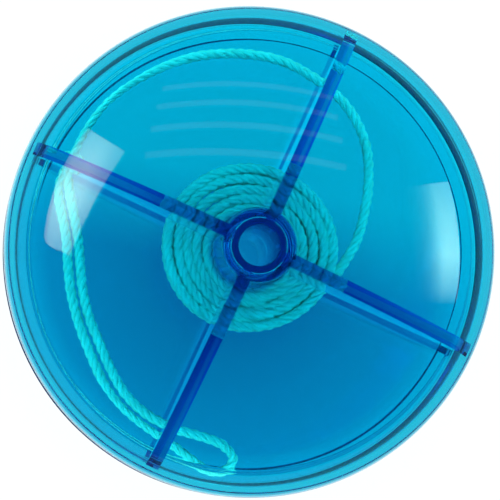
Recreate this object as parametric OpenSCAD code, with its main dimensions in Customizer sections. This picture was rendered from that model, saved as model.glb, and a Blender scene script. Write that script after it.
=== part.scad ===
// Hollow moulded yo-yo that lies on its rear crown, with its string wound round a tube axle.
// The axle runs along Z. Ribs lie along X and Y. The origin is the middle of the rear crown's flat spot.

/* [Body] */
// Diameter over the rims
body_d = 57; // [48:0.5:68]
// Width over both crowns
body_w = 31; // [28:0.5:38]
// Wall of the two caps
wall_t = 1.2; // [1:0.1:1.8]
// Radius of the rounded shoulder between crown and rim
shoulder_r = 8.6; // [7.5:0.1:10]
// Diameter of the flat spot in the middle of each crown
flat_d = 9; // [8:0.5:12]

/* [Hub and ribs] */
// Diameter of the tube axle
axle_d = 6.4; // [5.4:0.1:7.6]
// Bore of the tube axle
axle_bore_d = 4.6; // [3.8:0.1:4.6]
// Wall of the boss that holds the axle in each cap
boss_t = 0.9; // [0.8:0.1:1.2]
// Number of ribs in each cap
rib_count = 4; // [3:1:6]
// Thickness of a rib
rib_t = 1.5; // [0.8:0.1:1.8]

/* [Discs and gap] */
// Thickness of a disc
disc_t = 1.6; // [1.3:0.1:1.9]
// Thickness of a disc's thin edge, which sits in the cap
edge_t = 0.8; // [0.6:0.1:1.1]
// Width of a disc's thin edge
edge_w = 1.8; // [1.2:0.1:2.2]
// Gap between the discs at the axle
gap_axle = 4.1; // [4.1:0.1:5]
// Gap between the rims
gap_rim = 4.8; // [4.6:0.1:5.4]
// How far a disc's edge sits back from the rim of its cap
disc_setback = 1; // [0.8:0.1:1.3]

/* [String] */
// Diameter of the string
string_d = 1.25; // [1:0.05:1.25]
// Turns side by side in one layer of the coil
turns_across = 3; // [2:1:3]
// Diameter over the wound coil
coil_d = 21.2; // [18:0.1:21.2]
// Diameter of the slip knot
knot_d = 3.2; // [2.6:0.1:3.4]

/* [Hidden] */
$fn = 96;

press_clear = 0.02;     // air left round a pressed piece
seat_clear = 0.05;      // air left where a disc or the axle seats
running_clear = 0.05;   // between the axle and the string that slips on it
lay_clear = 0.15;       // under string that lies on a disc
hub_face_r = axle_d / 2 + 2.8;   // a disc is flat out to here, and then flares

body_r = body_d / 2;
crown_z = body_w / 2;            // heights are from the middle plane of the yo-yo
rim_z = gap_rim / 2;
axle_r = axle_d / 2;
boss_r = axle_r + boss_t;
string_r = string_d / 2;

// The crown is a sphere through the edge of the flat spot, and its arc runs smoothly into the shoulder's arc.
shoulder_x = body_r - shoulder_r;
crown_rise = crown_z - rim_z;
slope_k = (pow(flat_d / 2, 2) + pow(crown_rise, 2) - pow(shoulder_x, 2) + pow(shoulder_r, 2)) / (2 * shoulder_r);
qa = pow(crown_rise / shoulder_r, 2) - 1;
qb = 2 * crown_rise * (slope_k / shoulder_r - 1);
qc = pow(slope_k, 2) - pow(flat_d / 2, 2) - pow(crown_rise, 2);
centre_drop = (-qb + sqrt(qb * qb - 4 * qa * qc)) / (2 * qa);   // from the rim down to the crown's centre
crown_r = slope_k + centre_drop * crown_rise / shoulder_r;
blend_angle = atan(shoulder_x / centre_drop);                   // where crown and shoulder meet

// Disc, from the cap that holds it
seat_r = body_r - wall_t;
edge_z = rim_z + disc_setback;
ledge_z = edge_z + edge_t + seat_clear;
edge_r = seat_r - seat_clear;
step_r = edge_r - edge_w;
face_z = gap_axle / 2;
flare = (edge_z - face_z) / (step_r - hub_face_r);

// Height of a disc's inner face at radius r
function disc_face(r) = face_z + flare * min(max(r - hub_face_r, 0), step_r - hub_face_r);

// Loose end of the string, from the coil to the knot: x, y and height above the disc that it lies on
tail_route = [
    [10, 0.5, 1.3], [10.6, 3.5, 1.2], [10.9, 6.5, 0.8], [10.4, 10, 0.3], [9.4, 13.4, 0],
    [7.5, 17, 0], [4.8, 19.6, 0], [1.8, 21.1, 0], [-1.8, 21.9, 0], [-6, 22, 0], [-10.5, 20.7, 0],
    [-15, 18.2, 0], [-19, 14.3, 0], [-22, 9.5, 0], [-23, 5, 0.3], [-23, 1.5, 0.8]];

// Finger loop, from the knot round the folded tip and back to the knot
loop_route = [
    [-23, 0, 0.8], [-21.8, -2, 0.3], [-20, -4.5, 0], [-18.3, -7, 0], [-16.9, -9.5, 0],
    [-15.4, -12, 0], [-13.5, -14.4, 0], [-11.3, -16.5, 0], [-9.3, -18.3, 0], [-7.1, -20, 0],
    [-4.8, -21.2, 0], [-2, -21.9, 0], [1.2, -21.9, 0], [4.4, -21.4, 0], [6.6, -21.3, 0],
    [8.3, -22.1, 0], [8.7, -23.5, 0], [7.8, -24.7, 0], [6, -25.1, 0], [3.4, -24.5, 0],
    [0.4, -23.8, 0], [-2.6, -23.25, 0], [-5.5, -22.45, 0], [-8.1, -21.1, 0], [-10.2, -19.4, 0],
    [-12.3, -17.5, 0], [-14.5, -15.3, 0], [-16.5, -12.8, 0], [-18.2, -10, 0], [-19.8, -7.1, 0],
    [-21.6, -4.6, 0], [-23.1, -2.4, 0.3], [-23.4, -0.5, 0.8]];

knot_at = [-23.0, 0.7];
string_sides = 8;
rings_per_step = 2;

// ---- Sweep of a round string along a route ----

function on_disc(p) = [p[0], p[1], p[2] + string_r + lay_clear - disc_face(norm([p[0], p[1]]))];

function spline(a, b, c, d, t) =
    0.5 * (2 * b + (c - a) * t + (2 * a - 5 * b + 4 * c - d) * t * t + (3 * b - a - 3 * c + d) * t * t * t);

function smooth_path(pts) =
    let (n = len(pts) - 1)
    concat([for (i = [0:n - 1], k = [0:rings_per_step - 1])
        spline(pts[max(i - 1, 0)], pts[i], pts[i + 1], pts[min(i + 2, n)], k / rings_per_step)], [pts[n]]);

function unit(v) = v / norm(v);

function ring(path, i) =
    let (n = len(path) - 1,
         along = unit(path[min(i + 1, n)] - path[max(i - 1, 0)]),
         side = unit(cross([0, 0, 1], along)),
         up = cross(along, side))
    [for (k = [0:string_sides - 1])
        path[i] + string_r * (cos(360 * k / string_sides) * side + sin(360 * k / string_sides) * up)];

module string_tube(route) {
    path = smooth_path([for (p = route) on_disc(p)]);
    s = string_sides;
    last = (len(path) - 1) * s;
    polyhedron(
        points = [for (i = [0:len(path) - 1]) each ring(path, i)],
        faces = concat(
            [[for (k = [0:s - 1]) k]],
            [for (i = [0:len(path) - 2], k = [0:s - 1])
                [i * s + k, (i + 1) * s + k, (i + 1) * s + (k + 1) % s, i * s + (k + 1) % s]],
            [[for (k = [s - 1:-1:0]) last + k]]));
}

// ---- Moulded halves, drawn for the front half about the middle plane ----

// Half section of the dome, drawn in by an inset
module dome_section(inset) {
    reach = crown_r + shoulder_r;
    intersection() {
        union() {
            intersection() {
                translate([0, rim_z - centre_drop]) circle(r = crown_r - inset);
                polygon([[0, rim_z], [shoulder_x, rim_z],
                         [shoulder_x + reach * sin(blend_angle), rim_z + reach * cos(blend_angle)],
                         [0, rim_z + reach * cos(blend_angle)]]);
            }
            translate([shoulder_x, rim_z]) circle(r = shoulder_r - inset);
        }
        translate([0, rim_z]) square([body_d, crown_rise - inset]);
    }
}

module shell() {
    rotate_extrude() difference() {
        dome_section(0);
        dome_section(wall_t);
        translate([0, rim_z]) square([seat_r, ledge_z - rim_z]);
    }
}

module boss() {
    foot = face_z + disc_t + seat_clear;
    translate([0, 0, foot]) difference() {
        cylinder(r = boss_r, h = crown_z - wall_t / 2 - foot);
        translate([0, 0, -1]) cylinder(r = axle_r + press_clear, h = crown_z - wall_t - foot + 1);
    }
}

// One rib, a plate from the boss to the wall that stands on the disc
module rib() {
    top = 2 * body_w;
    lift = disc_t + seat_clear;
    rotate([90, 0, 0]) linear_extrude(height = rib_t, center = true) intersection() {
        dome_section(wall_t / 2);
        polygon([[axle_r + boss_t / 2, face_z + lift], [hub_face_r, face_z + lift],
                 [step_r, edge_z + lift], [body_r, edge_z + lift], [body_r, top],
                 [axle_r + boss_t / 2, top]]);
    }
}

module cap() {
    shell();
    boss();
    for (i = [0:rib_count - 1]) rotate([0, 0, i * 360 / rib_count]) rib();
}

module disc() {
    rotate_extrude() polygon([
        [axle_r + press_clear, face_z], [hub_face_r, face_z], [step_r, edge_z], [edge_r, edge_z],
        [edge_r, edge_z + edge_t], [step_r, edge_z + edge_t], [step_r, edge_z + disc_t],
        [hub_face_r, face_z + disc_t], [axle_r + press_clear, face_z + disc_t]]);
}

// ---- Nodes ----

module place() { translate([0, 0, crown_z]) children(); }

module front_cap() { color("deepskyblue", 0.6) place() cap(); }

module rear_cap() { color("deepskyblue", 0.6) place() mirror([0, 0, 1]) cap(); }

module front_disc() { color("dodgerblue", 0.6) place() disc(); }

module rear_disc() { color("dodgerblue", 0.6) place() mirror([0, 0, 1]) disc(); }

module axle_tube() {
    length = 2 * (crown_z - wall_t - seat_clear);
    color("royalblue", 0.7) place() difference() {
        cylinder(r = axle_r, h = length, center = true);
        cylinder(d = axle_bore_d, h = length + 2, center = true);
    }
}

module axle_loop() {
    color("ivory") place() difference() {
        cylinder(r = axle_r + running_clear + string_d, h = string_d, center = true);
        cylinder(r = axle_r + running_clear, h = string_d + 2, center = true);
    }
}

module string_coil() {
    width = turns_across * string_d;
    color("ivory") place() difference() {
        cylinder(d = coil_d, h = width, center = true);
        cylinder(r = axle_r + running_clear, h = width + 2, center = true);
        cylinder(r = axle_r + running_clear + string_d, h = string_d, center = true);
    }
}

module string_tail() { color("ivory") place() string_tube(tail_route); }

module finger_loop() { color("ivory") place() string_tube(loop_route); }

module slip_knot() {
    color("ivory") place()
        translate([knot_at[0], knot_at[1], knot_d / 2 + lay_clear - disc_face(norm(knot_at))])
            sphere(d = knot_d);
}

front_cap();
rear_cap();
front_disc();
rear_disc();
axle_tube();
axle_loop();
string_coil();
string_tail();
finger_loop();
slip_knot();
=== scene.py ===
"""Looks of a clear blue yo-yo.

Two moulded caps with ribs, two discs, a tube axle and one twisted cotton string, on a pale table.
"""

from math import acos, atan2, ceil, cos, pi, radians, sin, sqrt, tau

import bpy
import numpy as np
from mathutils import Matrix, Vector


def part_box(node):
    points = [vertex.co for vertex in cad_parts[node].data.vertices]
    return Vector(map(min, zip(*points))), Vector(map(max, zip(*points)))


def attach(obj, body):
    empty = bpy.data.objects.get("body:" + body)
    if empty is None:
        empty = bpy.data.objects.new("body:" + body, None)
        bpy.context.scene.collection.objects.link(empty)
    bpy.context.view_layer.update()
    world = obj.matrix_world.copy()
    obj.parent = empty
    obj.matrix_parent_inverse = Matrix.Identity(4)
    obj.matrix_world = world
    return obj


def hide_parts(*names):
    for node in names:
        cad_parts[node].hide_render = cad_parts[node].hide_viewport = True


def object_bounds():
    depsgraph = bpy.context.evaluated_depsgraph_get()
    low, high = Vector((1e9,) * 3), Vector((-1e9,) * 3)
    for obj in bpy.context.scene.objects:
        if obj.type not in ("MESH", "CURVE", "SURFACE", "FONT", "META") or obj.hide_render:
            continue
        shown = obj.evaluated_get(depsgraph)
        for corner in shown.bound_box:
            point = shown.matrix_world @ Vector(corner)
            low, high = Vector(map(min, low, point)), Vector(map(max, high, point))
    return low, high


bl_info = {
    "name": "Clear Yo-yo",
    "version": (1, 0, 0),
    "blender": (4, 5, 0),
    "location": "3D View > Sidebar > Yo-yo",
    "description": "Builds a clear moulded yo-yo with its wound string, and the table it lies on",
    "category": "Object",
}

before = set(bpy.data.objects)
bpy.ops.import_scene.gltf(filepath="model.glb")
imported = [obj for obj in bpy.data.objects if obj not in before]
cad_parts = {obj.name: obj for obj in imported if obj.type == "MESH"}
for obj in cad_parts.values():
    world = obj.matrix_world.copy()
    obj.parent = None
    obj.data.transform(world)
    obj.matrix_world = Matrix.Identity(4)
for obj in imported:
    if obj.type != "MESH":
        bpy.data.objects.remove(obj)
CAD_LOW, CAD_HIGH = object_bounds()
MIDDLE = (CAD_LOW.z + CAD_HIGH.z) / 2          # height of the plane between the halves
MM = 0.001
LAY_GAP = 0.15 * MM                            # air under string that lies on a disc
WIND_GAP = 0.06 * MM                           # air between the axle and the first layer of string
PLASTIC_DENSITY = 1500.0                       # strength of the plastic's tint, for each metre of it

# The stage. Directions are about the axle, from X; lengths are in metres.
# The table's glow carries a painted shadow of the toy: bright toward WINDOW, dimmer on the far side.
WINDOW = radians(103)            # direction of the table's lit side
SHADE_WIDTH = 0.011              # distance over which the table turns from its far side to its lit side
SHADE_SHARE = 0.14               # share of the lit side in the middle
TABLE_REACH = 0.05               # distance from the middle that the table's ramps span
TABLE_GLOW = (0.93, 0.99, 1.0)   # what the camera sees of the table
TABLE_BELOW = 0.02 * MM          # gap between the toy and the table
GUIDED_GLOW = 0.4                # what the table adds for light that was reflected in the plastic
LAMP_DISTANCE = 0.7
TUBES = radians(111)             # direction in which the ceiling tubes hang
TUBE_HEIGHT = 0.8
TUBE_FIRST = 0.41                # distance of the first tube from the axle
TUBE_PITCH = 0.14                # distance of each tube from the last


def cad_radius(node):
    """Outer radius of a round CAD node."""
    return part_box(node)[1].x


def cad_heights(node):
    """Lowest and highest point of a CAD node, from the plane between the halves."""
    low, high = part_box(node)
    return low.z - MIDDLE, high.z - MIDDLE


# ---- Sizes and colours a user would change ----

def size(name, description, millimetres):
    """A length property, its default given in millimetres."""
    return bpy.props.FloatProperty(
        name=name, description=description, default=millimetres * MM, unit="LENGTH", precision=5)


def colour(name, description, default):
    """A colour property."""
    return bpy.props.FloatVectorProperty(
        name=name, description=description, default=default, subtype="COLOR", size=3, min=0, max=1)


class YoyoShellSizes(bpy.types.PropertyGroup):
    """Sizes of the moulded pieces"""

    wall: size("Wall", "Wall of the two caps", 1.2)
    shoulder: size("Shoulder", "Radius of the rounded shoulder between crown and rim", 8.6)
    flat: size("Flat spot", "Radius of the flat spot in the middle of a crown", 4.5)
    boss_wall: size("Boss wall", "Wall of the boss that holds the axle", 0.9)
    rib: size("Rib", "Thickness of a rib", 1.5)
    disc: size("Disc", "Thickness of a disc", 1.6)
    disc_edge: size("Disc edge", "Thickness of a disc's thin edge", 0.8)
    disc_edge_width: size("Disc edge width", "Width of a disc's thin edge", 1.8)
    hub_face: size("Hub face", "Radius out to which a disc is flat", 6.0)
    axle_bore: size("Axle bore", "Radius of the hole through the axle", 2.3)
    press_gap: size("Press gap", "Air round a pressed piece", 0.02)
    seat_gap: size("Seat gap", "Air where a disc or the axle seats", 0.05)
    rounding: size("Rounding", "Radius of the moulded corners", 0.25)


class YoyoStringSizes(bpy.types.PropertyGroup):
    """Sizes of the string"""

    thickness: size("Thickness", "Diameter of the string", 1.25)
    layer: size("Layer", "How far one wound layer lies outside the last", 1.1)
    twist: size("Twist", "Length of one full twist of the plies", 3.4)
    step: size("Step", "Length of one stretch of the mesh", 0.3)
    plies: bpy.props.IntProperty(name="Plies", description="Plies twisted together", default=3)
    layers: bpy.props.IntProperty(name="Layers", description="Layers wound on the axle", default=6)
    across: bpy.props.IntProperty(name="Across", description="Turns side by side in a layer", default=3)


class YoyoColours(bpy.types.PropertyGroup):
    """Colours of the finishes"""

    plastic: colour("Plastic", "Tint that deepens with the plastic's thickness", (0.05, 0.925, 0.978))
    cotton: colour("Cotton", "Undyed cotton of the string", (0.86, 0.84, 0.68))
    cotton_shade: colour("Cotton shade", "Cotton between the fibres", (0.72, 0.7, 0.54))
    # Painted shade: the cotton next to the axle is made bluer and darker, where shade falls on the string.
    cotton_axle_shade: colour("Cotton in axle shade", "Painted shade on the cotton next to the axle", (0.12, 0.2, 0.48))
    table: colour("Table", "Pale table", (0.9, 0.9, 0.9))


# ---- Outlines of the moulded pieces: radius and height above the middle plane, front half ----

def arc(centre, radius, start, stop, count):
    """Points on an arc; the angles run from the axle's direction outwards."""
    return [(centre[0] + radius * sin(start + (stop - start) * i / count),
             centre[1] + radius * cos(start + (stop - start) * i / count)) for i in range(count + 1)]


def rounded(points, radius, closed=True):
    """The outline with its corners rounded; a corner on the axis stays."""
    nearly_straight = radians(150)      # a wider corner is a step of an arc, and stays
    most_of_side = 0.45                 # share of a side that one corner may take
    out = []
    last = len(points) - 1
    for i, point in enumerate(points):
        if not closed and i in (0, last):
            out.append(point)
            continue
        here = Vector(point)
        before = Vector(points[i - 1]) - here
        after = Vector(points[(i + 1) % len(points)]) - here
        turn = before.angle(after, pi)
        reach = min(radius, before.length * most_of_side, after.length * most_of_side)
        if turn > nearly_straight or point[0] <= 0:
            out.append(point)
            continue
        a, b = here + before.normalized() * reach, here + after.normalized() * reach
        out += [tuple(a.lerp(here, t).lerp(here.lerp(b, t), t)) for t in (0, 0.25, 0.5, 0.75, 1)]
    return out


class Dome:
    """The cap's curve: a crown arc that runs smoothly into the shoulder's arc."""

    def __init__(self, shell):
        self.shell = shell
        self.rim = cad_heights("front_cap")[0]
        self.top = cad_heights("front_cap")[1]
        self.outer = cad_radius("front_cap")
        rise = self.top - self.rim
        self.shoulder_x = self.outer - shell.shoulder
        k = (shell.flat**2 + rise**2 - self.shoulder_x**2 + shell.shoulder**2) / (2 * shell.shoulder)
        a = (rise / shell.shoulder)**2 - 1
        b = 2 * rise * (k / shell.shoulder - 1)
        c = k**2 - shell.flat**2 - rise**2
        drop = (-b + sqrt(b * b - 4 * a * c)) / (2 * a)
        self.crown = k + drop * rise / shell.shoulder
        self.centre = self.rim - drop
        self.blend = atan2(self.shoulder_x, drop)

    def curve(self, inset, stop_height):
        """Outline from the edge of the flat spot to the shoulder at a height, drawn in by an inset."""
        crown, shoulder = self.crown - inset, self.shell.shoulder - inset
        start = acos((self.top - inset - self.centre) / crown)
        stop = acos((stop_height - self.rim) / shoulder)
        return (arc((0, self.centre), crown, start, self.blend, 30)[:-1]
                + arc((self.shoulder_x, self.rim), shoulder, self.blend, stop, 30))


def disc_heights(shell):
    """Heights of the disc's inner face at the hub and at its edge."""
    low, high = cad_heights("front_disc")
    return low, high - shell.disc


def cap_outline(shell, dome):
    """Half section of a cap's shell and boss, from the axis outside to the axis inside."""
    face, edge = disc_heights(shell)
    seat = dome.outer - shell.wall
    ledge = edge + shell.disc_edge + shell.seat_gap
    inside = dome.top - shell.wall
    bore = cad_radius("axle_tube") + shell.press_gap
    boss = cad_radius("axle_tube") + shell.boss_wall
    foot = face + shell.disc + shell.seat_gap
    outside_curve = dome.curve(0, dome.rim)
    inside_curve = dome.curve(shell.wall, ledge)[::-1]
    points = ([(0, dome.top)] + outside_curve + [(seat, dome.rim), (seat, ledge)] + inside_curve
              + [(boss, inside), (boss, foot), (bore, foot), (bore, inside), (0, inside)])
    return rounded(points, shell.rounding, closed=False)


def rib_outline(shell, dome):
    """Outline of a rib, from the middle of the boss's wall to the middle of the cap's wall."""
    face, edge = disc_heights(shell)
    lift = shell.disc + shell.seat_gap
    root = cad_radius("axle_tube") + shell.boss_wall / 2
    step = dome.outer - shell.wall - shell.seat_gap - shell.disc_edge_width
    top_curve = dome.curve(shell.wall / 2, edge + lift)
    return ([(root, dome.top - shell.wall / 2)] + top_curve
            + [(step, edge + lift), (shell.hub_face, face + lift), (root, face + lift)])


def disc_outline(shell):
    """Closed half section of a disc, its corners rounder than the caps'."""
    face, edge = disc_heights(shell)
    rounding = 1.6 * shell.rounding
    bore = cad_radius("axle_tube") + shell.press_gap
    rim = cad_radius("front_disc")
    step = rim - shell.disc_edge_width
    return rounded([
        (bore, face), (shell.hub_face, face), (step, edge), (rim, edge), (rim, edge + shell.disc_edge),
        (step, edge + shell.disc_edge), (step, edge + shell.disc), (shell.hub_face, face + shell.disc),
        (bore, face + shell.disc)], rounding)


def axle_outline(shell):
    """Closed half section of the tube axle."""
    radius = cad_radius("axle_tube")
    low, high = cad_heights("axle_tube")
    return rounded([(shell.axle_bore, low), (radius, low), (radius, high), (shell.axle_bore, high)],
                   shell.rounding)


# ---- Modelling as by hand ----

LATHE_STEPS = 288        # a multiple of four, so that the ribs stand alike on the turned walls
MERGE = 1e-7             # points nearer than this, in metres, become one


def edit(select=None):
    """Edit mode with everything, or nothing, selected."""
    bpy.ops.object.mode_set(mode="EDIT")
    if select:
        bpy.ops.mesh.select_all(action=select)


def draw_outline(name, points, closed):
    """A new object with the outline drawn in the XZ plane, left in edit mode."""
    places = [Vector((r, 0, MIDDLE + z)) for r, z in points]
    bpy.ops.object.select_all(action="DESELECT")
    bpy.ops.mesh.primitive_plane_add(size=MM, location=places[0])
    bpy.context.object.name = name
    edit("SELECT")
    bpy.ops.mesh.merge(type="CENTER")
    for here, after in zip(places, places[1:]):
        bpy.ops.mesh.extrude_region_move(TRANSFORM_OT_translate={"value": after - here})
    if closed:
        bpy.ops.object.mode_set(mode="OBJECT")
        vertices = bpy.context.object.data.vertices
        vertices[0].select = vertices[len(vertices) - 1].select = True
        edit()
        bpy.ops.mesh.edge_face_add()
    return bpy.context.object


def finish_mesh(thing, angle=30):
    """Closes the mesh's seams, points its faces outwards, smooths it and puts its origin at the frame's."""
    edit("SELECT")
    bpy.ops.mesh.remove_doubles(threshold=MERGE)
    bpy.ops.mesh.normals_make_consistent(inside=False)
    bpy.ops.object.mode_set(mode="OBJECT")
    bpy.ops.object.transform_apply(location=True, rotation=True, scale=True)
    bpy.ops.object.shade_smooth_by_angle(angle=radians(angle))
    return thing


def turned(name, points, closed):
    """A piece turned round the axle from its half section."""
    thing = draw_outline(name, points, closed)
    edit("SELECT")
    bpy.ops.mesh.spin(steps=LATHE_STEPS, angle=tau, center=(0, 0, MIDDLE), axis=(0, 0, 1))
    return finish_mesh(thing)


def rib_plates(shell, dome, count=4):
    """All of a cap's ribs as flat plates."""
    thing = draw_outline("rib_plates", rib_outline(shell, dome), closed=True)
    edit("SELECT")
    bpy.ops.mesh.edge_face_add()
    bpy.ops.transform.translate(value=(0, -shell.rib / 2, 0))
    bpy.ops.mesh.extrude_region_move(TRANSFORM_OT_translate={"value": (0, shell.rib, 0)})
    bpy.ops.mesh.select_all(action="SELECT")
    bpy.ops.mesh.spin(steps=count, dupli=True, angle=tau, center=(0, 0, MIDDLE), axis=(0, 0, 1))
    return finish_mesh(thing)


def weld(thing, other):
    """Joins another closed piece into this one as a single moulding."""
    bpy.ops.object.select_all(action="DESELECT")
    thing.select_set(True)
    bpy.context.view_layer.objects.active = thing
    bpy.ops.object.modifier_add(type="BOOLEAN")
    joint = thing.modifiers[-1]
    joint.operation = "UNION"
    joint.solver = "EXACT"
    joint.object = other
    bpy.ops.object.modifier_apply(modifier=joint.name)
    bpy.data.objects.remove(other)


def turned_over(name, front):
    """A copy of a front piece for the rear half, turned over about X."""
    rear = front.copy()
    rear.data = front.data.copy()
    rear.name = name
    bpy.context.collection.objects.link(rear)
    middle = Matrix.Translation((0, 0, MIDDLE))
    rear.data.transform(middle @ Matrix.Rotation(pi, 4, "X") @ middle.inverted())
    return rear


def fit(piece, body, slot, material, *nodes):
    """Gives a finished piece its material and its body, and hides the CAD nodes that it stands for. Its slot
    is not used.
    """
    piece.data.materials.clear()
    piece.data.materials.append(material)
    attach(piece, body)
    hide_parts(*nodes)


# ---- String: its route, its plies and its knot ----

# Loose end from the coil to the knot, and the finger loop: x, y and height above the disc, in millimetres
TAIL = [
    (10, 0.5, 1.3), (10.6, 3.5, 1.2), (10.9, 6.5, 0.8), (10.4, 10, 0.3), (9.4, 13.4, 0),
    (7.5, 17, 0), (4.8, 19.6, 0), (1.8, 21.1, 0), (-1.8, 21.9, 0), (-6, 22, 0), (-10.5, 20.7, 0),
    (-15, 18.2, 0), (-19, 14.3, 0), (-22, 9.5, 0), (-23, 5, 0.3), (-23, 1.5, 0.8)]
LOOP = [
    (-23, 0, 0.8), (-21.8, -2, 0.3), (-20, -4.5, 0), (-18.3, -7, 0), (-16.9, -9.5, 0),
    (-15.4, -12, 0), (-13.5, -14.4, 0), (-11.3, -16.5, 0), (-9.3, -18.3, 0), (-7.1, -20, 0),
    (-4.8, -21.2, 0), (-2, -21.9, 0), (1.2, -21.9, 0), (4.4, -21.4, 0), (6.6, -21.3, 0),
    (8.3, -22.1, 0), (8.7, -23.5, 0), (7.8, -24.7, 0), (6, -25.1, 0), (3.4, -24.5, 0),
    (0.4, -23.8, 0), (-2.6, -23.25, 0), (-5.5, -22.45, 0), (-8.1, -21.1, 0), (-10.2, -19.4, 0),
    (-12.3, -17.5, 0), (-14.5, -15.3, 0), (-16.5, -12.8, 0), (-18.2, -10, 0), (-19.8, -7.1, 0),
    (-21.6, -4.6, 0), (-23.1, -2.4, 0.3), (-23.4, -0.5, 0.8)]

def disc_face(shell, radius):
    """Distance of a disc's inner face from the middle plane."""
    face, edge = disc_heights(shell)
    step = cad_radius("front_disc") - shell.disc_edge_width
    share = min(max((radius - shell.hub_face) / (step - shell.hub_face), 0), 1)
    return face + (edge - face) * share


def on_rear_disc(shell, string, point):
    """A route point as a place in the frame, lying on the rear disc."""
    x, y, lift = (v * MM for v in point)
    drop = disc_face(shell, sqrt(x * x + y * y)) - string.thickness / 2 - LAY_GAP
    return Vector((x, y, MIDDLE + lift - drop))


def smooth_path(places, steps):
    """A smooth curve through places, as a list of points."""
    last = len(places) - 1
    out = []
    for i in range(last):
        a, b = places[max(i - 1, 0)], places[i]
        c, d = places[i + 1], places[min(i + 2, last)]
        for k in range(steps):
            t = k / steps
            out.append(0.5 * (2 * b + (c - a) * t + (2 * a - 5 * b + 4 * c - d) * t * t
                              + (3 * b - a - 3 * c + d) * t**3))
    return out + [places[last]]


def ease(t):
    """0 to 1 with a smooth start and stop."""
    t = min(max(t, 0), 1)
    return t * t * (3 - 2 * t)


def coil_lumps(angle):
    """How far the coil's outline stands in or out of round, about the axle."""
    return (0.5 * cos(angle - radians(109)) + 0.22 * cos(2 * (angle - radians(16)))
            + 0.18 * cos(3 * (angle - radians(41)))) * MM


def coil_path(string, end_angle):
    """The wound turns from the axle outwards, layer by layer and side to side."""
    per_turn = 40             # points
    crossing = 0.3            # share of a turn in which it crosses over to the next lane
    waviness = 0.12 * MM
    turns = string.layers * string.across
    first = cad_radius("axle_tube") + WIND_GAP + string.thickness / 2
    places = []
    for i in range(turns * per_turn + 1):
        turn = i / per_turn
        layer = min(int(turn // string.across), string.layers - 1)
        within = turn - layer * string.across
        lane = min(int(within), string.across - 1)
        cross_over = ease((within - lane - (1 - crossing)) / crossing)
        sideways = lane + (cross_over if lane < string.across - 1 else 0)
        outwards = layer + (cross_over if lane == string.across - 1 and layer < string.layers - 1 else 0)
        z = (sideways - (string.across - 1) / 2) * string.thickness
        z *= 1 if layer % 2 else -1
        angle = end_angle + (turn - turns) * tau
        slack = outwards / (string.layers - 1)
        wobble = slack * (coil_lumps(angle) + waviness * sin(3 * angle + 1.7 * layer))
        radius = first + string.layer * outwards + wobble
        places.append(Vector((radius * cos(angle), radius * sin(angle), MIDDLE + z)))
    return places


def even_steps(places, step):
    """The path again, at even steps along it, as an array."""
    points = np.array([tuple(p) for p in places])
    along = np.concatenate([[0], np.cumsum(np.linalg.norm(np.diff(points, axis=0), axis=1))])
    count = int(ceil(along[-1] / step))
    wanted = np.linspace(0, along[-1], count + 1)
    return np.stack([np.interp(wanted, along, points[:, k]) for k in range(3)], 1), along[-1]


def carried_frames(points):
    """Along, side and up directions at each point, carried along the path without twist."""
    along = np.gradient(points, axis=0)
    along /= np.linalg.norm(along, axis=1)[:, None]
    side = np.empty_like(along)
    seed = np.cross(along[0], (0, 0, 1))
    if np.linalg.norm(seed) < 0.1:
        seed = np.cross(along[0], (1, 0, 0))
    side[0] = seed / np.linalg.norm(seed)
    for i in range(1, len(points)):
        carried = side[i - 1] - along[i] * (side[i - 1] @ along[i])
        side[i] = carried / np.linalg.norm(carried)
    return along, side, np.cross(along, side)


def twisted_mesh(name, points, string, closed=False, squeeze=1.0):
    """Plies twisted round a path. Its UV map runs along and round each ply, in turns of the twist."""
    sides = 6
    pressed = 1.1      # soft plies are this much thicker than plies that only touch
    radius = string.thickness / 2 * squeeze
    ply = pressed * radius / (1 + 1 / sin(pi / string.plies))
    offset = radius - ply
    step = np.linalg.norm(points[1] - points[0])
    twists = len(points) * step / string.twist
    if closed:
        twists = round(twists)
    _, side, up = carried_frames(points)
    n = len(points)
    vertices, faces, uvs = [], [], []
    for k in range(string.plies):
        angle = tau * (twists * np.arange(n) / n + k / string.plies)
        centre = points + offset * (np.cos(angle)[:, None] * side + np.sin(angle)[:, None] * up)
        _, ply_side, ply_up = carried_frames(centre)
        base = len(vertices)
        around = tau * np.arange(sides) / sides
        rings = (centre[:, None] + ply * (np.cos(around)[None, :, None] * ply_side[:, None]
                                          + np.sin(around)[None, :, None] * ply_up[:, None]))
        vertices += [tuple(v) for v in rings.reshape(-1, 3)]
        spans = n if closed else n - 1
        for i in range(spans):
            j = (i + 1) % n
            for s in range(sides):
                t = (s + 1) % sides
                faces.append((base + i * sides + s, base + i * sides + t,
                              base + j * sides + t, base + j * sides + s))
                u0, u1 = i * step / string.twist, (i + 1) * step / string.twist
                v0, v1 = s / sides, (s + 1) / sides
                uvs += [u0, v0, u0, v1, u1, v1, u1, v0]
        if not closed:
            faces.append(tuple(base + s for s in reversed(range(sides))))
            faces.append(tuple(base + (n - 1) * sides + s for s in range(sides)))
            uvs += [0.0, 0.0] * (2 * sides)
    mesh = bpy.data.meshes.new(name)
    mesh.from_pydata(vertices, [], faces)
    mesh.uv_layers.new(name="ply").data.foreach_set("uv", uvs)
    mesh.shade_smooth()
    thing = bpy.data.objects.new(name, mesh)
    bpy.context.collection.objects.link(thing)
    return thing


# ---- Shader maths as Python expressions ----

BLACK, WHITE = (0, 0, 0), (1, 1, 1)


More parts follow.
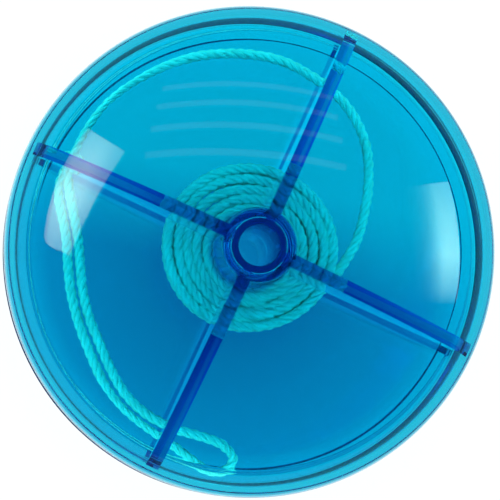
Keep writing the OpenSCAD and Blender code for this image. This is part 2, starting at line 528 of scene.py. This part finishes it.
class Value:
    """A shader socket that takes part in sums; each step adds one Math node."""

    def __init__(self, nodes, socket):
        self.nodes = nodes
        self.socket = socket

    def other(self, output):
        """Another output of the same node."""
        return Value(self.nodes, self.socket.node.outputs[output])

    def _math(self, operation, a, b):
        return self.nodes.add("ShaderNodeMath", {"operation": operation}, {0: a, 1: b})

    def __add__(self, other):
        return self._math("ADD", self, other)

    def __mul__(self, other):
        return self._math("MULTIPLY", self, other)

    def __sub__(self, other):
        return self._math("SUBTRACT", self, other)

    def __rsub__(self, other):
        return self._math("SUBTRACT", other, self)

    def __pow__(self, other):
        return self._math("POWER", self, other)

    __radd__ = __add__
    __rmul__ = __mul__


class Nodes:
    """The nodes of one material, cleared and ready to be built."""

    def __init__(self, owner):
        owner.use_nodes = True
        self.tree = owner.node_tree
        self.tree.nodes.clear()

    def add(self, kind, settings=None, inputs=None, output=0):
        """Adds a node; the settings come first and then its sockets' values or links."""
        node = self.tree.nodes.new(kind)
        for name, value in (settings or {}).items():
            if name == "ramp":
                self._ramp(node.color_ramp, value)
            else:
                setattr(node, name, value)
        for key, value in (inputs or {}).items():
            if isinstance(value, Value):
                self.tree.links.new(value.socket, node.inputs[key])
            else:
                node.inputs[key].default_value = value
        return Value(self, node.outputs[output]) if len(node.outputs) else None

    def _ramp(self, ramp, stops):
        while len(ramp.elements) < len(stops):
            ramp.elements.new(0.5)
        for element, (place, value) in zip(ramp.elements, stops):
            element.position = place
            element.color = (*value, 1)


def clear_plastic(colours):
    """Polished clear moulded plastic, tinted by its depth, with faint flow marks, haze and scuffs."""
    material = bpy.data.materials.new("clear_plastic")
    nodes = Nodes(material)
    place = nodes.add("ShaderNodeTexCoord", output="Object")
    haze = nodes.add("ShaderNodeTexNoise", None, {"Vector": place, "Scale": 90.0, "Detail": 3.0})
    flow = nodes.add("ShaderNodeTexNoise", None, {"Vector": place, "Scale": 260.0, "Detail": 1.0})
    stretched = nodes.add("ShaderNodeMapping", None, {"Vector": place, "Scale": (1.0, 14.0, 3.0),
                                                      "Rotation": (0.3, 0.2, 0.7)})
    scuff = nodes.add("ShaderNodeTexNoise", None, {"Vector": stretched, "Scale": 420.0, "Detail": 2.0})
    hairline = nodes.add("ShaderNodeValToRGB", {"ramp": [(0.66, BLACK), (0.72, WHITE)]}, {0: scuff})
    roughness = 0.012 + 0.02 * haze**3 + 0.03 * hairline
    bump = nodes.add("ShaderNodeBump", None,
                     {"Strength": 0.04, "Distance": 0.02 * MM, "Height": flow + 0.3 * haze})
    shader = nodes.add("ShaderNodeBsdfPrincipled", None, {
        "Base Color": (0.93, 0.985, 1.0, 1), "Transmission Weight": 1.0, "IOR": 1.49,
        "Roughness": roughness, "Normal": bump})
    depth = nodes.add("ShaderNodeVolumeAbsorption", None,
                      {"Color": (*colours.plastic, 1), "Density": PLASTIC_DENSITY})
    nodes.add("ShaderNodeOutputMaterial", None, {"Surface": shader, "Volume": depth})
    return material


def cotton(colours):
    """Twisted cotton: fine fibres along each ply, darker streaks, a soft sheen and painted blue shade at the
    axle.
    """
    material = bpy.data.materials.new("twisted_cotton")
    nodes = Nodes(material)
    ply = nodes.add("ShaderNodeUVMap", {"uv_map": "ply"})
    fibres = nodes.add("ShaderNodeMapping", None, {"Vector": ply, "Scale": (1.2, 9.0, 1.0)})
    strands = nodes.add("ShaderNodeTexNoise", {"noise_dimensions": "2D"},
                        {"Vector": fibres, "Scale": 1.6, "Detail": 4.0, "Roughness": 0.65})
    place = nodes.add("ShaderNodeTexCoord", output="Object")
    patches = nodes.add("ShaderNodeTexNoise", None, {"Vector": place, "Scale": 220.0, "Detail": 2.0})
    tone = 0.65 * strands + 0.35 * patches
    tint = nodes.add("ShaderNodeValToRGB", {"ramp": [(0.3, colours.cotton_shade), (0.55, colours.cotton),
                                                     (0.8, (0.93, 0.92, 0.8))]}, {0: tone})
    in_cm, height_left_out = 100.0, 0.0
    flat_place = nodes.add("ShaderNodeVectorMath", {"operation": "MULTIPLY"},
                           {0: place, 1: (in_cm, in_cm, height_left_out)})
    from_axle = nodes.add("ShaderNodeVectorMath", {"operation": "LENGTH"}, {0: flat_place}, output=1)
    # Painted shade: the cotton turns bluer and darker within 4.1 mm of the axle, fading out by 5 mm.
    outside_axle_shade = nodes.add("ShaderNodeValToRGB", {"ramp": [(0.41, BLACK), (0.5, WHITE)]}, {0: from_axle})
    tint = nodes.add("ShaderNodeMix", {"data_type": "RGBA"},
                     {0: outside_axle_shade, 6: (*colours.cotton_axle_shade, 1), 7: tint}, output=2)
    bump = nodes.add("ShaderNodeBump", None, {"Strength": 0.4, "Distance": 0.05 * MM, "Height": strands})
    shader = nodes.add("ShaderNodeBsdfPrincipled", None, {
        "Base Color": tint, "Roughness": 0.85, "Normal": bump, "Sheen Weight": 0.3,
        "Sheen Roughness": 0.5, "Specular IOR Level": 0.2})
    nodes.add("ShaderNodeOutputMaterial", None, {"Surface": shader})
    return material


def table_top(colours):
    """Pale table that glows, plain white to the camera. Seen through the toy its glow carries a painted
    shadow:
    dark blue in the middle, where the coil's shadow falls, and dimmer on the far side, in the toy's shadow.
    Its outer part isn't mirrored, and it is brighter for light that was reflected in the plastic."""
    material = bpy.data.materials.new("pale_table")
    nodes = Nodes(material)
    place = nodes.add("ShaderNodeTexCoord", output="Object")
    grain = nodes.add("ShaderNodeTexNoise", None, {"Vector": place, "Scale": 30.0, "Detail": 3.0})
    from_middle = nodes.add("ShaderNodeVectorMath", {"operation": "LENGTH"}, {0: place}, output=1)
    outwards = from_middle * (1 / TABLE_REACH)
    toward_window = nodes.add("ShaderNodeVectorMath", {"operation": "DOT_PRODUCT"},
                              {0: place, 1: (cos(WINDOW), sin(WINDOW), 0.0)}, output=1)
    # Painted shadow: dark blue under the hub, where the coil's shadow falls, and dimmer on the far side, in
    # the toy's shadow.
    coil_shadow = [(0.0, (0.02, 0.24, 0.5)), (0.12, (0.02, 0.26, 0.52))]
    beyond = [(0.85, (0.7, 0.72, 0.78))]
    lit_side = nodes.add("ShaderNodeValToRGB", {"ramp": coil_shadow + [
        (0.22, (0.9, 0.97, 0.93)), (0.46, (0.9, 1.0, 0.95)), (0.54, (1.0, 1.1, 1.05)),
        (0.62, (1.0, 1.0, 1.0))] + beyond}, {0: outwards})
    shadowed_side = nodes.add("ShaderNodeValToRGB", {"ramp": coil_shadow + [
        (0.24, (0.4, 0.4, 0.6)), (0.46, (0.5, 0.54, 0.74)), (0.54, (0.7, 0.8, 0.9)),
        (0.62, (0.8, 0.85, 0.9))] + beyond}, {0: outwards})
    share = toward_window * (1 / SHADE_WIDTH) + SHADE_SHARE
    light = nodes.add("ShaderNodeMix", {"data_type": "RGBA", "clamp_factor": True},
                      {0: share, 6: shadowed_side, 7: lit_side}, output=2)
    rays = nodes.add("ShaderNodeLightPath", output="Is Camera Ray")
    tinted = nodes.add("ShaderNodeMix", {"data_type": "RGBA"},
                       {0: rays, 6: light, 7: (*TABLE_GLOW, 1)}, output=2)
    mirrored = rays.other("Is Reflection Ray") * rays.other("Is Glossy Ray")
    outer = nodes.add("ShaderNodeValToRGB", {"ramp": [(0.7, BLACK), (0.88, WHITE)]}, {0: outwards})
    near = nodes.add("ShaderNodeValToRGB", {"ramp": [
        (0.12, BLACK), (0.18, WHITE), (0.6, WHITE), (0.75, BLACK)]}, {0: outwards})
    guided = nodes.add("ShaderNodeMath", {"operation": "GREATER_THAN"},
                       {0: rays.other("Glossy Depth"), 1: 0.5})
    strength = (1 - mirrored * outer) * (1 + GUIDED_GLOW * guided * near * (1 - mirrored))
    shader = nodes.add("ShaderNodeBsdfPrincipled", None, {
        "Base Color": (*colours.table, 1), "Roughness": 0.6 + 0.1 * grain, "Specular IOR Level": 0.0})
    brightened = nodes.add("ShaderNodeVectorMath", {"operation": "SCALE"}, {0: tinted, "Scale": strength})
    glow = nodes.add("ShaderNodeEmission", None, {"Color": brightened, "Strength": 1.0})
    mostly_glow = 0.97
    surface = nodes.add("ShaderNodeMixShader", None, {0: mostly_glow, 1: shader, 2: glow})
    nodes.add("ShaderNodeOutputMaterial", None, {"Surface": surface})
    return material


# ---- Operators ----

class YoyoOperator(bpy.types.Operator):
    """Base of the builders"""

    bl_options = {"REGISTER", "UNDO"}

    @property
    def shell(self):
        return bpy.context.scene.yoyo_shell

    @property
    def string(self):
        return bpy.context.scene.yoyo_string

    @property
    def colours(self):
        return bpy.context.scene.yoyo_colours


def material_for(name, build, colours):
    """The material of that name, built the first time it is asked for."""
    return bpy.data.materials.get(name) or build(colours)


class YOYO_OT_camera(YoyoOperator):
    """Set the camera nearly along the axle, above the front crown"""

    bl_idname = "yoyo.camera"
    bl_label = "Camera"

    def execute(self, context):
        distance, lift = 0.4, 0.15 * MM
        lean = radians(5.9)           # of the camera's line off the axle
        toward = radians(237.4)       # direction in which it leans
        top = radians(114.8)          # direction that is up in the view
        back = Vector((cos(toward) * sin(lean), sin(toward) * sin(lean), cos(lean)))
        right = Vector((cos(top), sin(top), 0)).cross(back).normalized()
        up = back.cross(right)
        rim = Vector((0, 0, MIDDLE + cad_heights("front_cap")[0])) + lift * up
        data = bpy.data.cameras.new("view")
        data.lens = 248.7
        data.sensor_width = 36
        data.clip_start, data.clip_end = 0.02, 20
        camera = bpy.data.objects.new("view", data)
        camera.matrix_world = Matrix.Translation(rim + back * distance) @ Matrix(
            (right, up, back)).transposed().to_4x4()
        context.scene.collection.objects.link(camera)
        context.scene.camera = camera
        return {"FINISHED"}


class YOYO_OT_string(YoyoOperator):
    """Wind the string on the axle, lay its loose end in the gap and tie its finger loop"""

    bl_idname = "yoyo.string"
    bl_label = "String and knot"

    def execute(self, context):
        shell, string = self.shell, self.string
        tail = [on_rear_disc(shell, string, p) for p in TAIL]
        loop = [on_rear_disc(shell, string, p) for p in LOOP]
        fine = 12                                                 # points between two places of the route
        end_angle = atan2(tail[0].y, tail[0].x) - radians(8)      # the coil ends a little before the tail
        wound = coil_path(string, end_angle)
        loose = smooth_path(wound[-3:] + tail + loop, fine)[2 * fine:]
        points, length = even_steps(wound[:-1] + loose, string.step)
        cord = twisted_mesh("cotton_string", points, string)
        knot = self.knot(shell, string, tail[-1].lerp(loop[0], 0.5))
        material = material_for("twisted_cotton", cotton, self.colours)
        fit(cord, "string", "cotton", material, "axle_loop", "string_coil", "string_tail", "finger_loop")
        fit(knot, "string", "cotton", material, "slip_knot")
        return {"FINISHED"}

    def knot(self, shell, string, place):
        """A small pulled-tight overhand knot lying on the disc."""
        reach, squeeze = 0.43 * MM, 0.75
        turn = tau * np.arange(90) / 90
        shape = np.stack([np.sin(turn) + 2 * np.sin(2 * turn), np.cos(turn) - 2 * np.cos(2 * turn),
                          -np.sin(3 * turn)], 1) * reach
        thick = reach + string.thickness / 2 * squeeze
        height = MIDDLE - disc_face(shell, place.xy.length) + thick + LAY_GAP
        return twisted_mesh("string_knot", shape + (place.x, place.y, height), string,
                            closed=True, squeeze=squeeze)


class YOYO_OT_caps(YoyoOperator):
    """Mould the two caps, each with its boss and ribs"""

    bl_idname = "yoyo.caps"
    bl_label = "Caps"

    def execute(self, context):
        dome = Dome(self.shell)
        front = turned("front_dome", cap_outline(self.shell, dome), closed=False)
        weld(front, rib_plates(self.shell, dome))
        bpy.ops.object.shade_smooth_by_angle(angle=radians(30))
        rear = turned_over("rear_dome", front)
        material = material_for("clear_plastic", clear_plastic, self.colours)
        fit(front, "shells", "clear_blue", material, "front_cap")
        fit(rear, "shells", "clear_blue", material, "rear_cap")
        return {"FINISHED"}


class YOYO_OT_discs(YoyoOperator):
    """Mould the two discs that close the caps"""

    bl_idname = "yoyo.discs"
    bl_label = "Discs"

    def execute(self, context):
        front = turned("front_plate", disc_outline(self.shell), closed=True)
        rear = turned_over("rear_plate", front)
        material = material_for("clear_plastic", clear_plastic, self.colours)
        fit(front, "shells", "clear_blue", material, "front_disc")
        fit(rear, "shells", "clear_blue", material, "rear_disc")
        return {"FINISHED"}


class YOYO_OT_axle(YoyoOperator):
    """Turn the tube axle"""

    bl_idname = "yoyo.axle"
    bl_label = "Axle"

    def execute(self, context):
        axle = turned("axle_sleeve", axle_outline(self.shell), closed=True)
        material = material_for("clear_plastic", clear_plastic, self.colours)
        fit(axle, "shells", "clear_blue", material, "axle_tube")
        return {"FINISHED"}


class YOYO_OT_stage(YoyoOperator):
    """Lay the pale table and hang the studio lights"""

    bl_idname = "yoyo.stage"
    bl_label = "Table and lights"

    def execute(self, context):
        bpy.ops.object.select_all(action="DESELECT")
        bpy.ops.mesh.primitive_circle_add(
            vertices=96, radius=3, fill_type="NGON", location=(0, 0, -TABLE_BELOW))
        table = context.object
        table.name = "table"
        bpy.ops.object.transform_apply(location=True)
        table.data.materials.append(table_top(self.colours))
        self.room(context)
        self.lamp("left_softbox", radians(182), radians(42.8), 0.36, 0.16, radians(-7), 8.0,
                  (1.12, 0.96, 0.68), [(0.0, 0.4), (0.55, 1.0), (1.0, 0.45)],
                  [(0.0, 0.3), (0.2, 0.85), (0.55, 1.0), (1.0, 0.4)])
        self.lamp("right_softbox", radians(29.8), radians(37.3), 0.34, 0.175, 0, 6.5,
                  (0.92, 1.05, 0.74), [(0.0, 0.0), (0.12, 0.4), (0.4, 1.0), (1.0, 0.35)],
                  [(0.0, 0.95), (0.25, 1.0), (0.38, 0.9), (0.5, 0.45), (0.65, 0.13), (0.8, 0.03),
                   (1.0, 0.0)])
        for i in range(4):
            self.tube(i)
        paths = context.scene.cycles
        paths.max_bounces = paths.transmission_bounces = 32
        paths.glossy_bounces = 16
        return {"FINISHED"}

    def room(self, context):
        """A pale room: white to the camera, bright on matte surfaces, dimmer through the plastic and nearly
        dark in reflections."""
        world = bpy.data.worlds.new("studio")
        nodes = Nodes(world)
        rays = nodes.add("ShaderNodeLightPath", output="Is Camera Ray")
        mirrored = rays.other("Is Reflection Ray") * rays.other("Is Glossy Ray")
        way = nodes.add("ShaderNodeTexCoord", output="Generated")
        rise = nodes.add("ShaderNodeSeparateXYZ", None, {0: way}, output=2)
        matte = nodes.add("ShaderNodeMath", {"operation": "MINIMUM"},
                          {0: rays.other("Diffuse Depth"), 1: 1.0})
        low = nodes.add("ShaderNodeMath", {"operation": "SUBTRACT", "use_clamp": True},
                        {0: 1.0, 1: nodes.add("ShaderNodeMath", {"operation": "ABSOLUTE"}, {0: rise})})
        guided = nodes.add("ShaderNodeMath", {"operation": "GREATER_THAN"},
                           {0: rays.other("Glossy Depth"), 1: 1.5})
        level, overhead = 1.7, 6.6                  # on matte surfaces
        walls, horizon, piped = 0.22, 0.75, 1.1     # through the plastic
        least = 0.003                               # in reflections
        through = walls + horizon * low**4 + piped * guided
        sky = matte * (level + overhead * rise**2) + (1 - matte) * (1 - mirrored) * through + least
        room = nodes.add("ShaderNodeBackground", None, {
            "Color": (1.0, 0.99, 0.94, 1), "Strength": rays + (1 - rays) * sky})
        nodes.add("ShaderNodeOutputWorld", None, {"Surface": room})
        context.scene.world = world
        context.scene.view_settings.view_transform = "Standard"

    def light(self, name, wide, tall, glow):
        """A rectangular light of a given brightness, whatever its size."""
        data = bpy.data.lights.new(name, "AREA")
        data.shape = "RECTANGLE"
        data.size, data.size_y = wide, tall
        data.energy = glow * pi * wide * tall
        light = bpy.data.objects.new(name, data)
        bpy.context.scene.collection.objects.link(light)
        return light

    def lamp(self, name, across, rise, wide, tall, roll, glow, tint, along, up):
        """A softbox that faces the toy. One ramp shades its glow along its width, and one up its height."""
        light = self.light(name, wide, tall, glow)
        back = Vector((cos(across) * cos(rise), sin(across) * cos(rise), sin(rise)))
        right = Vector((-sin(across), cos(across), 0))
        top = back.cross(right)
        turn = Matrix((right, top, back)).transposed() @ Matrix.Rotation(roll, 3, "Z")
        light.matrix_world = Matrix.Translation(back * LAMP_DISTANCE) @ turn.to_4x4()
        nodes = Nodes(light.data)
        sides = nodes.add("ShaderNodeNewGeometry", output="Parametric")
        split = nodes.add("ShaderNodeSeparateXYZ", None, {0: sides})
        height = split.other(1)
        shares = [nodes.add("ShaderNodeValToRGB", {"ramp": [(a, (b, b, b)) for a, b in stops]}, {0: place})
                  for stops, place in ((along, split), (up, height))]
        glow = nodes.add("ShaderNodeEmission", None,
                         {"Color": (*tint, 1), "Strength": shares[0] * shares[1]})
        nodes.add("ShaderNodeOutputLight", None, {"Surface": glow})

    def tube(self, i):
        """One of a row of ceiling tubes, which hang on the side of the table's brighter half."""
        light = self.light(f"ceiling_tube_{i}", wide=0.85, tall=0.03, glow=0.33)
        outwards = Vector((cos(TUBES), sin(TUBES), 0)) * (TUBE_FIRST + TUBE_PITCH * i)
        away = outwards + Vector((0, 0, TUBE_HEIGHT))
        back = away.normalized()
        right = Vector((-sin(TUBES), cos(TUBES), 0))
        light.matrix_world = (Matrix.Translation(away)
                              @ Matrix((right, back.cross(right), back)).transposed().to_4x4())


class YOYO_PT_panel(bpy.types.Panel):
    """Builders of the yo-yo and its stage"""

    bl_label = "Yo-yo"
    bl_idname = "YOYO_PT_panel"
    bl_space_type = "VIEW_3D"
    bl_region_type = "UI"
    bl_category = "Yo-yo"

    def draw(self, context):
        for builder in BUILDERS:
            self.layout.operator(builder.bl_idname)


BUILDERS = (YOYO_OT_camera, YOYO_OT_string, YOYO_OT_caps, YOYO_OT_discs, YOYO_OT_axle, YOYO_OT_stage)
SETTINGS = {"yoyo_shell": YoyoShellSizes, "yoyo_string": YoyoStringSizes, "yoyo_colours": YoyoColours}


def register():
    """Registers the settings, the builders and the panel."""
    for name, group in SETTINGS.items():
        bpy.utils.register_class(group)
        setattr(bpy.types.Scene, name, bpy.props.PointerProperty(type=group))
    for thing in (*BUILDERS, YOYO_PT_panel):
        bpy.utils.register_class(thing)


def unregister():
    """Takes back everything that register added."""
    for thing in (YOYO_PT_panel, *reversed(BUILDERS)):
        bpy.utils.unregister_class(thing)
    for name, group in SETTINGS.items():
        delattr(bpy.types.Scene, name)
        bpy.utils.unregister_class(group)


def main():
    """Builds everything in order."""
    register()
    for builder in BUILDERS:
        group, call = builder.bl_idname.split(".")
        getattr(getattr(bpy.ops, group), call)()


if __name__ == "__main__":
    main()
